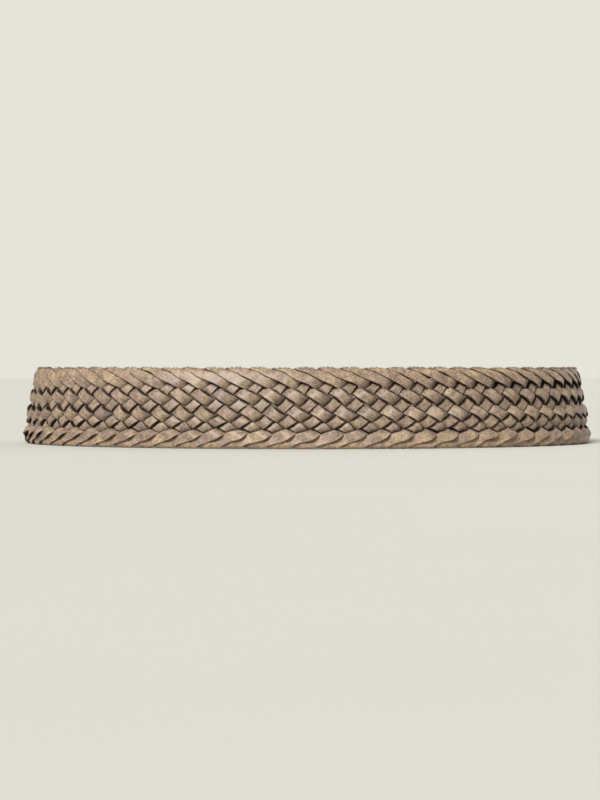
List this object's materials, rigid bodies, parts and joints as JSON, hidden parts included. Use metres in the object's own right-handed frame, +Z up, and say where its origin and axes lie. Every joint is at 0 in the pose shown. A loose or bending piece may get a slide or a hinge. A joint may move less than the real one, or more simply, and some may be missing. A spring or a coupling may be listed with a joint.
{
  "type": "braided leather belt",
  "caption": "Wide braided leather belt, fastened round into an oval loop with two plain leather tabs and a metal clasp, standing on its lower edge.",
  "frame": {"origin": "on the surface that the belt stands on, in the middle of its plan", "axes": "+Z up from the lower edge to the upper one, +Y to the front where the belt is fastened, -Y to the middle of the back, which the picture shows"},
  "size_m": [0.3384, 0.2574, 0.045],
  "materials": {
    "strand_leather": "soft satin taupe, matte fibrous cut edges",
    "tab_leather": "soft satin taupe, sewn",
    "clasp_metal": "brushed, dull antique"
  },
  "bodies": {
    "root": {"strand_01": "strand_leather", "strand_02": "strand_leather", "strand_03": "strand_leather", "strand_04": "strand_leather", "strand_05": "strand_leather", "strand_06": "strand_leather", "strand_07": "strand_leather", "strand_08": "strand_leather", "strand_09": "strand_leather", "strand_10": "strand_leather", "strand_11": "strand_leather", "tab_left": "tab_leather", "tab_right": "tab_leather", "clasp": "clasp_metal"}
  },
  "joints": []
}
